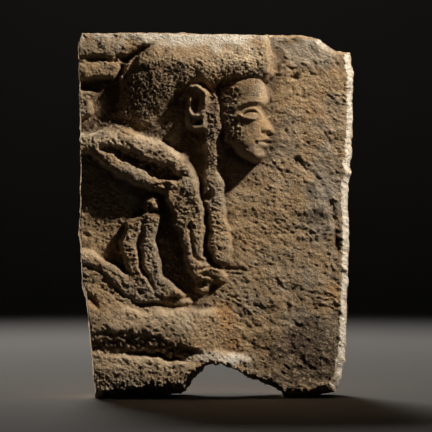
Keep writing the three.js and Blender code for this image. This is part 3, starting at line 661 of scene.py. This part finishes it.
def place_in_outline(across, downward, bevel, chipped, seed=0):
    """Places drawn in from the outline by bevels and chips, in millimetres from the left and the top."""
    left = PANEL_WIDTH * value_between(LEFT_INSET, downward) + bevel["left"]
    right = PANEL_WIDTH * (1 - value_between(RIGHT_INSET, downward)) - bevel["right"]
    top = PANEL_HEIGHT * value_between(TOP_INSET, across) + bevel["top"]
    bottom = PANEL_HEIGHT * (1 - value_between(BOTTOM_INSET, across))
    bottom = bottom - value_between(bevel["bottom"], across)
    x = left + (right - left) * across
    z = top + (bottom - top) * downward
    # Chips only shift what lies near their own side
    gaps = dict(left=x - left, right=right - x, top=z - top, bottom=bottom - z)
    shift = {}
    for number, (side, gap) in enumerate(gaps.items(), start=1):
        upright = side in ("left", "right")
        share, length = (downward, PANEL_HEIGHT) if upright else (across, PANEL_WIDTH)
        reach = np.maximum(0, 1 - gap / CHIP_REACH) ** 2
        shift[side] = reach * chipped[side] * ragged(share, length, CHIP_LENGTH[side], seed + number)
    return x + shift["left"] - shift["right"], z + shift["top"] - shift["bottom"]


def carved_forms(x, z, right, down):
    """The carving's height in millimetres, without its fine surface, and each place's skin by number."""
    reach = oval_reach(right, down, FACE_MIDDLE, FACE_RADII)
    off_face = 1 - smooth_step(FACE_BORDER * (1 - reach))
    wander = WANDER * (WANDER_ON_FACE + (1 - WANDER_ON_FACE) * off_face)
    worn_right = right + wander * layered(x, z, WANDER_RIGHT) + FRAY * off_face * layered(x, z, FRAY_RIGHT)
    worn_down = down + wander * layered(x, z, WANDER_DOWN) + FRAY * off_face * layered(x, z, FRAY_DOWN)
    height = np.zeros(right.size)
    skins = np.zeros(right.size, int)
    for form in CARVING + FACE_CARVING + EAR_CARVING + HAND_CARVING + SCARS:
        form(height, skins, worn_right.ravel(), worn_down.ravel())
    height = blurred((height * RELIEF_DEPTH).reshape(x.shape), 1)
    uneven = UNEVEN * (UNEVEN_ON_FACE + (1 - UNEVEN_ON_FACE) * off_face)
    height *= 1 + uneven * rough_noise(x / UNEVEN_SIZE[0], np.zeros(x.shape), z / UNEVEN_SIZE[1], 35, 2)
    return height, skins.reshape(x.shape)


def roughness_amounts(skins, right, down):
    """How strong each part of the fine surface is at each place."""
    amounts = {}
    for key in SKINS["ground"]:
        amounts[key] = blurred(np.array([SKINS[name][key] for name in SKIN_NAMES])[skins], 2)
    factor = np.ones(right.shape)
    for middle, radii, change in ROUGHER:
        reach = oval_reach(right, down, middle, radii)
        factor *= 1 + (change - 1) * smooth_step(1.5 * (1 - reach))
    amounts["bulge"] *= np.minimum(factor, 1)
    for key in ("grain", "lump", "pit"):
        most = np.maximum(amounts[key], SKINS["broken"][key])
        amounts[key] = np.minimum(amounts[key] * factor, most)
    return amounts


def fine_surface(x, z, height, amounts):
    """Streaks, grain, lumps, bulges, pits and slow swellings of the stone, in millimetres."""
    sunk_streaks = z + layered(x, z, STREAK_WARP) - STREAK_SLOPE * x
    streaks = layered(x, sunk_streaks, BROAD_STREAKS) + layered(x, z - STREAK_SLOPE * x, NARROW_STREAKS)
    patchy = np.clip(0.9 + layered(x, z, STREAK_PATCHES), 0.3, 2)
    lumps = 2 * scattered(x, z, LUMP_CELL, seed=12, share=1, least=0.45, most=0.8) - 1
    in_pit_patch = 0.5 + layered(x, z, PIT_PATCH_LAYER) < amounts["pitted"]
    pits = in_pit_patch * scattered(x, z, PIT_CELL, seed=16, share=1, least=0.18, most=0.42)
    large = scattered(x, z, LARGE_PIT_CELL, seed=20, share=LARGE_PIT_SHARE, least=0.15, most=0.3)
    pits = np.maximum(pits, (amounts["lump"] < 0.5) * large)
    undulation = rough_noise(x / UNDULATION_SIZE[0], np.zeros(x.shape), z / UNDULATION_SIZE[1], 24, 3)
    background = 1 - smooth_step((height - 1) / 5)

    rough = amounts["streak"] * patchy * streaks + amounts["grain"] * layered(x, z, FINE_GRAIN)
    rough += 0.5 * amounts["lump"] * lumps
    rough += amounts["bulge"] * layered(x, z - BULGE_SLOPE * x, BULGES)
    rough -= amounts["pit"] * pits
    rough += (0.3 + 0.5 * background) * undulation
    return rough


def carved_face(x, z):
    """The front's height and the masks that colour it, painted shade and highlight among them, at
    millimetres from the left and from the top.
    """
    right = x / LAYOUT_SQUARE + SQUARES_LOST_LEFT
    down = z / LAYOUT_SQUARE + SQUARES_LOST_ABOVE
    height, skins = carved_forms(x, z, right, down)
    amounts = roughness_amounts(skins, right, down)
    rough = fine_surface(x, z, height, amounts)
    height = height + rough
    # Painted shade in the grain's hollows and painted highlight on its raised points, by how far the
    # roughness lies below or above its local mean
    sharpness = 1 + GRAIN_LIGHT_AMONG_LUMPS * amounts["lump"]
    hollow = np.clip(0.5 + sharpness * (rough - blurred(rough, GRAIN_LIGHT_REACH)) / GRAIN_LIGHT_RANGE, 0, 1)
    # Painted shade in deep places, where the relief sinks below its surroundings
    near, far = [blurred(height, reach) for reach in RECESS_SHADE_REACHES]
    painted_recess_shade = np.clip(0.5 + (near - far) / RECESS_SHADE_RANGE, 0, 1)
    return height, {"hollow": hollow, "painted_recess_shade": painted_recess_shade, **stains(right, down)}


def stains(right, down):
    """How strongly each stain, and each patch of painted shade and painted highlight, colours each place:
    soft patches with broken edges.
    """
    uneven = 0.6 * rough_noise(right / 1.6, np.zeros(right.shape), down / 1.6, 44, 3)
    masks = {}
    for name, patches in STAINS.items():
        mask = np.zeros(right.shape)
        for middle, radii, strength in patches:
            reach = oval_reach(right, down, middle, radii)
            mask = np.maximum(mask, strength * smooth_step(1.4 * (1 - reach) + 0.5 * uneven))
        masks[name] = mask
    return masks


def quads(index, flipped=False):
    """The four-sided faces between the points of a grid."""
    a, b, d, e = index[:-1, :-1], index[:-1, 1:], index[1:, :-1], index[1:, 1:]
    corners = [a, b, e, d] if flipped else [a, d, e, b]
    return np.stack(corners, axis=-1).reshape(-1, 4)


def block_mesh():
    """The block's closed surface, with the masks of the face as values on its points."""
    columns = grid_shares(PANEL_WIDTH, FIGURE_SHARE[0])
    rows = grid_shares(PANEL_HEIGHT, FIGURE_SHARE[1])
    across, downward = np.meshgrid(columns, rows)
    from_left, from_top = place_in_outline(across, downward, FRONT, FRONT_CHIPS)
    height, face_masks = carved_face(from_left, from_top)
    wide, tall = len(columns), len(rows)

    def points_at(places, behind):
        x, top = places
        behind = np.broadcast_to(behind, x.shape)
        return np.stack([x.ravel(), behind.ravel(), (PANEL_HEIGHT - top).ravel()], axis=1)

    rim = [*[(0, c) for c in range(wide - 1)], *[(r, wide - 1) for r in range(tall - 1)],
           *[(tall - 1, c) for c in range(wide - 1, 0, -1)], *[(r, 0) for r in range(tall - 1, 0, -1)]]
    rim_rows = np.array([r for r, _ in rim])
    rim_columns = np.array([c for _, c in rim])
    rim_places = columns[rim_columns], rows[rim_rows]

    front = points_at((from_left, from_top), -height)
    back = points_at(place_in_outline(across, downward, BACK, BACK_CHIPS), SLAB_THICKNESS)
    index = np.arange(wide * tall).reshape(tall, wide)
    front_rim = index[rim_rows, rim_columns]

    # Rings of points from the face's rim to the full outline, along the sides and over the back's arris
    full = points_at(place_in_outline(*rim_places, FULL, FULL_CHIPS), 0.0)
    full_behind = points_at(place_in_outline(*rim_places, FULL, FULL_CHIPS, seed=FULL_BEHIND_SEED), 0.0)
    rings = []
    for t in BEVEL_SHARES:
        ring = front[front_rim] * (1 - t) + full * t
        ring[:, 1] = front[front_rim][:, 1] * (1 - t) + EDGE_BACKSET * t
        rings.append(ring)
    straight = SLAB_THICKNESS - ARRIS_DEPTH - EDGE_BACKSET
    for t in np.linspace(0, 1, round(straight / SIDE_STEP) + 1)[1:]:
        ring = full * (1 - t) + full_behind * t
        ring[:, 1] = EDGE_BACKSET + straight * t
        rings.append(ring)
    for t in ARRIS_SHARES:
        ring = full_behind * (1 - t) + back[front_rim] * t
        ring[:, 1] = SLAB_THICKNESS - ARRIS_DEPTH * (1 - t)
        rings.append(ring)

    points = np.vstack([front, *rings, back])
    loops = [front_rim]
    start = len(front)
    for ring in rings:
        loops.append(start + np.arange(len(ring)))
        start += len(ring)
    back_index = start + index
    loops.append(back_index[rim_rows, rim_columns])
    sides = [np.stack([near, np.roll(near, -1), np.roll(far, -1), far], axis=-1)
             for near, far in zip(loops, loops[1:])]
    faces = np.vstack([quads(index), quads(back_index, flipped=True), *sides])

    masks = {"broken": np.zeros(len(points))}
    for name, values in face_masks.items():
        masks[name] = np.full(len(points), 0.5 if name in ("hollow", "painted_recess_shade") else 0.0)
        masks[name][: len(front)] = values.ravel()
    roughen_sides(points, faces, len(front), masks)
    return points, faces, masks


def facing(component, start, span):
    """0 where a surface faces away and 1 where it faces along an axis, by a component of its normals."""
    return smooth_step((component - start) / span)


def roughen_sides(points, faces, front_count, masks):
    """Moves all but the carved face in and out along its normals: broken below, dressed elsewhere."""
    corners = points[faces]
    face_normals = np.cross(corners[:, 2] - corners[:, 0], corners[:, 3] - corners[:, 1])
    normals = np.zeros(points.shape)
    for k in range(4):
        np.add.at(normals, faces[:, k], face_normals)
    normals /= np.linalg.norm(normals, axis=1, keepdims=True) + 1e-12
    sides = np.ones(len(points))
    sides[:front_count] = 0
    broken = facing(-normals[:, 2], start=0.2, span=0.4) * sides
    backside = facing(normals[:, 1], start=0.5, span=0.4) * sides
    to_right = facing(normals[:, 0], start=0.3, span=0.3)
    knapped = to_right * facing(-normals[:, 1], start=0.2, span=0.3) * sides

    x, y, z = points.T
    coarse = rough_noise(x / COARSE_SIZE, y / COARSE_SIZE, z / COARSE_SIZE, 61, 3)
    fine = rough_noise(x / FINE_SIZE, y / FINE_SIZE, z / FINE_SIZE, 71, 2)
    tooling = noise((x + z) / 3.2, y / 20, (x - z) / 22, 81)
    flaked = np.abs(rough_noise(x / 6, y / 6, z / 8, 91, 2)) - 0.5
    push = sides * (1 - BACK_CALM * backside) * (SIDE_PUSH[0] * coarse + SIDE_PUSH[1] * fine)
    push += broken * (BROKEN_PUSH[0] * coarse + BROKEN_PUSH[1] * fine)
    push += TOOLING_PUSH * backside * tooling
    push += knapped * (KNAPPED_PUSH[0] * coarse + KNAPPED_PUSH[1] * flaked)
    points += normals * push[:, None]
    points[:, 2] = np.maximum(points[:, 2], 0)
    # Painted shade: sides that face downwards get the broken mask, which darkens their colour
    masks["broken"][:] = broken
    # Painted highlight: sides that face right, towards the key light, get the pale colour of fresh breaks
    masks["fresh_break_and_painted_highlight"] += knapped
    masks["hollow"][front_count:] = np.clip(0.5 + 0.2 * (0.6 * coarse + fine)[front_count:], 0, 1)


def mesh_object(name, points, faces, masks):
    """An object of the points, placed in the frame, with each mask as a value on its points."""
    ground_depth = high_corner.y / MM - SLAB_THICKNESS
    placed = points + np.array([low_corner.x / MM, ground_depth, 0])
    mesh = bpy.data.meshes.new(name)
    mesh.vertices.add(len(placed))
    mesh.vertices.foreach_set("co", (placed * MM).ravel())
    mesh.loops.add(faces.size)
    mesh.loops.foreach_set("vertex_index", faces.ravel())
    mesh.polygons.add(len(faces))
    mesh.polygons.foreach_set("loop_start", np.arange(0, faces.size, 4))
    mesh.polygons.foreach_set("use_smooth", np.ones(len(faces), bool))
    mesh.update(calc_edges=True)
    for key, values in masks.items():
        mesh.attributes.new(key, "FLOAT", "POINT").data.foreach_set("value", values)
    made = bpy.data.objects.new(name, mesh)
    bpy.context.scene.collection.objects.link(made)
    return made


def decimated(source, most_triangles):
    """The same object with its surface joined into fewer triangles where it is smooth."""
    triangles = sum(len(polygon.vertices) - 2 for polygon in source.data.polygons)
    reducer = source.modifiers.new("fewer", "DECIMATE")
    reducer.ratio = min(1, most_triangles / triangles)
    evaluated = source.evaluated_get(bpy.context.evaluated_depsgraph_get())
    fewer = bpy.data.meshes.new_from_object(evaluated)
    source.modifiers.clear()
    source.data = fewer
    return source


# The colour sockets of a Mix node, by number because their names repeat
MIX_SHARE, MIX_FIRST, MIX_SECOND, MIX_RESULT = 0, 6, 7, 2


class Nodes:
    """Builds a material's nodes, each fed by numbers, colours or other nodes' outputs."""

    def __init__(self, material):
        material.use_nodes = True
        self.tree = material.node_tree
        self.shader = self.tree.nodes["Principled BSDF"]

    def add(self, kind, output=0, settings=None, **inputs):
        node = self.tree.nodes.new(kind)
        for name, value in (settings or {}).items():
            setattr(node, name, value)
        for name, value in inputs.items():
            self.feed(node.inputs[name.replace("_", " ")], value)
        return node.outputs[output]

    def feed(self, socket, value):
        if isinstance(value, bpy.types.NodeSocket):
            self.tree.links.new(value, socket)
        else:
            socket.default_value = value

    def scaled(self, value, strength):
        node = self.tree.nodes.new("ShaderNodeMath")
        node.operation = "MULTIPLY"
        self.feed(node.inputs[0], value)
        self.feed(node.inputs[1], strength)
        return node.outputs[0]

    def noise(self, size_mm, detail=3.0, roughness=0.55, stretch=(1, 1, 1), turn=0.0):
        """Noise from 0 to 1 in the object's space, about size_mm wide, turned about Y and stretched."""
        coordinates = self.add("ShaderNodeTexCoord", output="Object")
        turned = self.add("ShaderNodeMapping", Vector=coordinates, Rotation=(0, turn, 0))
        scaled = self.add("ShaderNodeMapping", Vector=turned, Scale=stretch)
        return self.add("ShaderNodeTexNoise", Vector=scaled, Scale=1 / (size_mm * MM), Detail=detail,
                        Roughness=roughness)

    def band(self, value, low, high):
        """0 at low, 1 at high and smooth between."""
        return self.add("ShaderNodeMapRange", settings={"interpolation_type": "SMOOTHSTEP"}, Value=value,
                        **{"From_Min": low, "From_Max": high})

    def blend(self, share, first, second, how="MIX"):
        node = self.tree.nodes.new("ShaderNodeMix")
        node.data_type = "RGBA"
        node.blend_type = how
        self.feed(node.inputs[MIX_SHARE], share)
        self.feed(node.inputs[MIX_FIRST], first)
        self.feed(node.inputs[MIX_SECOND], second)
        return node.outputs[MIX_RESULT]

    def ranged(self, value, low, high):
        """Spreads 0 to 1 over low to high."""
        return self.add("ShaderNodeMapRange", Value=value, **{"To_Min": low, "To_Max": high})

    def bump(self, height, depth_mm, under=None):
        """Fine relief over the surface, or over the relief under it."""
        laid_on = {"Normal": under} if under is not None else {}
        return self.add("ShaderNodeBump", Height=height, Strength=1.0, Distance=depth_mm * MM, **laid_on)

    def attribute(self, name):
        return self.add("ShaderNodeAttribute", output="Fac", settings={"attribute_name": name})


BUFF = (0.42, 0.285, 0.158, 1)
GREY = (0.285, 0.262, 0.225, 1)
OCHRE = (0.43, 0.22, 0.08, 1)
# Pale of worn stone and flecks, also used as painted highlight on lit tops and on raised grain
PALE_WEAR_AND_HIGHLIGHT = (0.74, 0.575, 0.39, 1)
# Painted shade for the sides that face downwards, laid on by the broken mask
UNDERSIDE_SHADE = (0.24, 0.185, 0.125, 1)
# Pale of fresh breaks, also used as painted highlight on the sides that face right, towards the key light
FRESH_BREAK_AND_HIGHLIGHT = (0.84, 0.76, 0.65, 1)
# Dark brown of stains and flecks, also used as painted shade in hollows, deep places and shadowed patches
SHADE_AND_STAIN_BROWN = (0.085, 0.052, 0.03, 1)
STREAK_TURN = np.radians(-25)
# How strongly each mask lays its colour over those before it; several of these colours are partly painted
# shade and painted highlight
MASK_COLOURS = [("grey", GREY, 0.85), ("ochre", OCHRE, 0.75), ("pale_wear_and_painted_highlight", PALE_WEAR_AND_HIGHLIGHT, 0.7), ("broken", UNDERSIDE_SHADE, 0.5),
                ("dark_stain_and_painted_shade", SHADE_AND_STAIN_BROWN, 0.9), ("fresh_break_and_painted_highlight", FRESH_BREAK_AND_HIGHLIGHT, 1)]


def stone_colour(n):
    """Buff stone with grey and ochre clouds, the masks' stains, pale and dark flecks, painted shade in
    hollows and deep places, and painted highlight on raised grain.
    """
    colour = n.blend(n.scaled(n.band(n.noise(45), 0.45, 0.65), 0.5), BUFF, GREY)
    colour = n.blend(n.scaled(n.band(n.noise(30, 4), 0.55, 0.72), 0.3), colour, OCHRE)
    for name, stain, strength in MASK_COLOURS:
        colour = n.blend(n.scaled(n.attribute(name), strength), colour, stain)
    pale_flecks = n.band(n.noise(2.6, 4, 0.65), 0.52, 0.66)
    dark_flecks = n.band(n.noise(3.4, 4, 0.7), 0.45, 0.33)
    hollow, painted_recess_shade = n.attribute("hollow"), n.attribute("painted_recess_shade")
    colour = n.blend(n.scaled(pale_flecks, 0.4), colour, PALE_WEAR_AND_HIGHLIGHT)
    colour = n.blend(n.scaled(dark_flecks, 0.4), colour, SHADE_AND_STAIN_BROWN)
    # Painted shade in the grain's hollows and in deep places, and painted highlight on raised grain
    colour = n.blend(n.scaled(n.band(hollow, 0.42, 0.05), 0.65), colour, SHADE_AND_STAIN_BROWN)
    colour = n.blend(n.scaled(n.band(painted_recess_shade, 0.4, 0.05), 0.6), colour, SHADE_AND_STAIN_BROWN)
    colour = n.blend(n.scaled(n.band(hollow, 0.55, 0.95), 0.45), colour, PALE_WEAR_AND_HIGHLIGHT)
    speckle = n.ranged(n.noise(1.6, 4, 0.7), 0.5, 1.5)
    return n.blend(1.0, colour, speckle, "MULTIPLY")


def stone_material():
    material = bpy.data.materials.new("weathered_stone")
    n = Nodes(material)
    n.feed(n.shader.inputs["Base Color"], stone_colour(n))
    n.feed(n.shader.inputs["Roughness"], n.ranged(n.noise(4), 0.78, 1.0))
    n.shader.inputs["Specular IOR Level"].default_value = 0.25
    streaks = n.bump(n.noise(2.2, 3, 0.6, stretch=(0.3, 1, 1), turn=STREAK_TURN), depth_mm=1.6)
    ripples = n.bump(n.noise(2.8, 4, 0.65), depth_mm=2.2, under=streaks)
    grain = n.bump(n.noise(1.3, 3, 0.65), depth_mm=1.3, under=ripples)
    n.feed(n.shader.inputs["Normal"], grain)
    return material


stone_block = mesh_object("stone_block", *block_mesh())
stone_block = decimated(stone_block, MOST_TRIANGLES)
stone_block.data.materials.clear()
stone_block.data.materials.append(stone_material())
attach(stone_block, "root")
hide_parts("relief_panel")

# The studio's paper, with its sizes in metres
FLOOR_REACH = 3
BACKDROP_HEIGHT = 3
BEND_RADIUS = 0.8
PAPER = (0.5, 0.485, 0.46, 1)


def studio_sheet():
    """A light grey sheet that lies under the block and curves up behind it."""
    angles = np.linspace(0, np.pi / 2, 16)
    bend = [(FLOOR_REACH - BEND_RADIUS + BEND_RADIUS * np.sin(angle), BEND_RADIUS * (1 - np.cos(angle)))
            for angle in angles]
    profile = [(-2 * FLOOR_REACH, 0.0), *bend, (FLOOR_REACH, BACKDROP_HEIGHT)]
    vertices = [(side * 2 * FLOOR_REACH, y, z) for y, z in profile for side in (-1, 1)]
    faces = [(2 * i, 2 * i + 1, 2 * i + 3, 2 * i + 2) for i in range(len(profile) - 1)]
    mesh = bpy.data.meshes.new("studio_sheet")
    mesh.from_pydata(vertices, [], faces)
    for polygon in mesh.polygons:
        polygon.use_smooth = True
    material = bpy.data.materials.new("pale_paper")
    material.use_nodes = True
    shader = material.node_tree.nodes["Principled BSDF"]
    shader.inputs["Base Color"].default_value = PAPER
    shader.inputs["Roughness"].default_value = 0.9
    mesh.materials.append(material)
    sheet = bpy.data.objects.new("studio_sheet", mesh)
    bpy.context.scene.collection.objects.link(sheet)


def spot_light(name, aim, direction, distance, radius, cone_degrees, power, colour, only_on=None):
    """A spotlight that points at aim, in metres. With only_on, it lights that object alone."""
    data = bpy.data.lights.new(name, "SPOT")
    data.shadow_soft_size = radius
    data.spot_size = np.radians(cone_degrees)
    data.spot_blend = 0.6
    data.energy = power
    data.color = colour
    lamp = bpy.data.objects.new(name, data)
    lamp.location = Vector(aim) + Vector(direction).normalized() * distance
    lamp.rotation_euler = Vector(direction).to_track_quat("Z", "Y").to_euler()
    bpy.context.scene.collection.objects.link(lamp)
    if only_on:
        receivers = bpy.data.collections.new("lit_by_" + name)
        receivers.objects.link(only_on)
        lamp.light_linking.receiver_collection = receivers


def light_from(angle_up, angle_out):
    """A direction that rises from the right and stands out from the face, by angles in degrees."""
    up, out = np.radians(angle_up), np.radians(angle_out)
    return (np.cos(out) * np.cos(up), -np.sin(out), np.cos(out) * np.sin(up))


studio_sheet()
above_middle = (0, 0, 0.55 * PANEL_HEIGHT * MM)
WARM, CREAM, SOFT = (1, 0.92, 0.8), (1, 0.95, 0.88), (1, 0.97, 0.93)
# The first three light the block alone, so that the floor throws none of the key's light into shadows
spot_light("key", above_middle, light_from(49, 20.5), distance=1.5, radius=0.05, cone_degrees=36, power=145,
           colour=WARM, only_on=stone_block)
spot_light("rim", above_middle, (-1, 0.6, 0.3), distance=1.6, radius=0.15, cone_degrees=30, power=160,
           colour=CREAM, only_on=stone_block)
spot_light("back", above_middle, (0.4, 1, 0.4), distance=1.6, radius=0.3, cone_degrees=34, power=9,
           colour=SOFT, only_on=stone_block)
spot_light("floor", (0, 0.7, 0), (-0.25, 0.55, 1), distance=2.4, radius=0.5, cone_degrees=60, power=75,
           colour=SOFT)
world = bpy.data.worlds.new("studio")
world.use_nodes = True
sky = world.node_tree.nodes["Background"].inputs
sky["Color"].default_value = (0.8, 0.82, 0.85, 1)
sky["Strength"].default_value = 0.004
bpy.context.scene.world = world
bpy.context.scene.view_settings.view_transform = "Standard"

# The camera faces the carving from afar, at the middle of the photograph's frame
IMAGE_PIXELS = 432
FLOOR_PIXEL_ROW = 400  # the row of the photograph in which the block's feet stand
PIXEL_SIZE = 1.0825 * MM  # of the real block, at the carving
MIDDLE_ABOVE_FLOOR = (FLOOR_PIXEL_ROW - IMAGE_PIXELS / 2) * PIXEL_SIZE
CAMERA_DISTANCE = 2.6
camera_data = bpy.data.cameras.new("camera")
camera_data.sensor_width = 36
camera_data.lens = camera_data.sensor_width * CAMERA_DISTANCE / (IMAGE_PIXELS * PIXEL_SIZE)
camera = bpy.data.objects.new("camera", camera_data)
camera.location = (0, low_corner.y - CAMERA_DISTANCE, MIDDLE_ABOVE_FLOOR)
camera.rotation_euler = (np.pi / 2, 0, 0)
bpy.context.scene.collection.objects.link(camera)
bpy.context.scene.camera = camera
